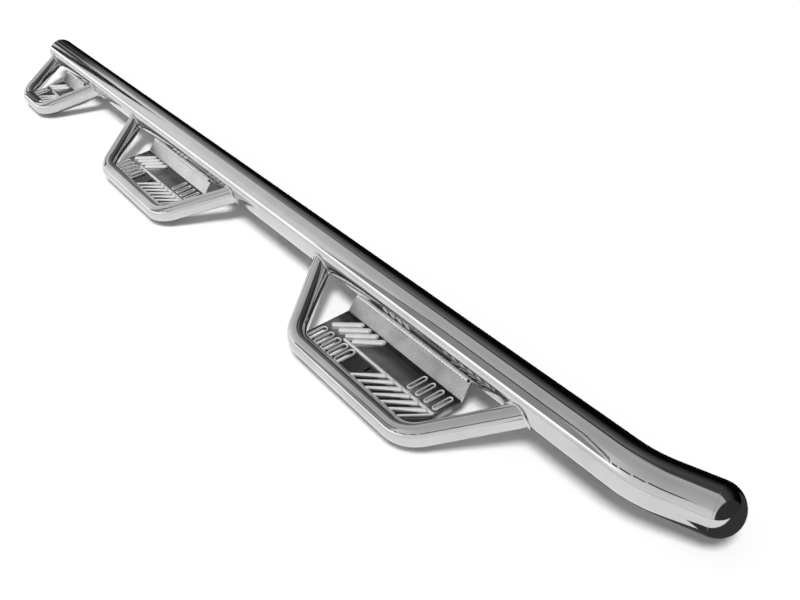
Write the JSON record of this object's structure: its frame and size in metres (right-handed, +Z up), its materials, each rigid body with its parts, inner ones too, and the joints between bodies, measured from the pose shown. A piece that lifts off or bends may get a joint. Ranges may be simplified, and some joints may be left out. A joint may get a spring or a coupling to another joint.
{
  "type": "truck side step bar",
  "caption": "Long round step bar for a pickup's side, with drop-down hoop steps for the doors and a shorter one for the bed, and bolt-on feet.",
  "frame": {"origin": "midway between the two bolt holes of the second bracket from the front, on the underside of its foot", "axes": "+X along the tube towards the front of the vehicle, +Y towards the vehicle, so that the steps hang towards -Y, +Z up"},
  "size_m": [2.6555, 0.2647, 0.1069],
  "materials": {
    "tube": "polished",
    "tread": "polished",
    "riser": "satin",
    "weld": "satin",
    "bracket": "satin"
  },
  "bodies": {
    "root": {"brackets": "bracket", "end_caps": "tube", "hoops": "tube", "main_tube": "tube", "riser_bed": "riser", "riser_front": "riser", "riser_rear": "riser", "riser_weld_bed": "weld", "riser_weld_front": "weld", "riser_weld_rear": "weld", "tread_bed": "tread", "tread_front": "tread", "tread_rear": "tread", "tread_weld_bed": "weld", "tread_weld_front": "weld", "tread_weld_rear": "weld"}
  },
  "joints": []
}
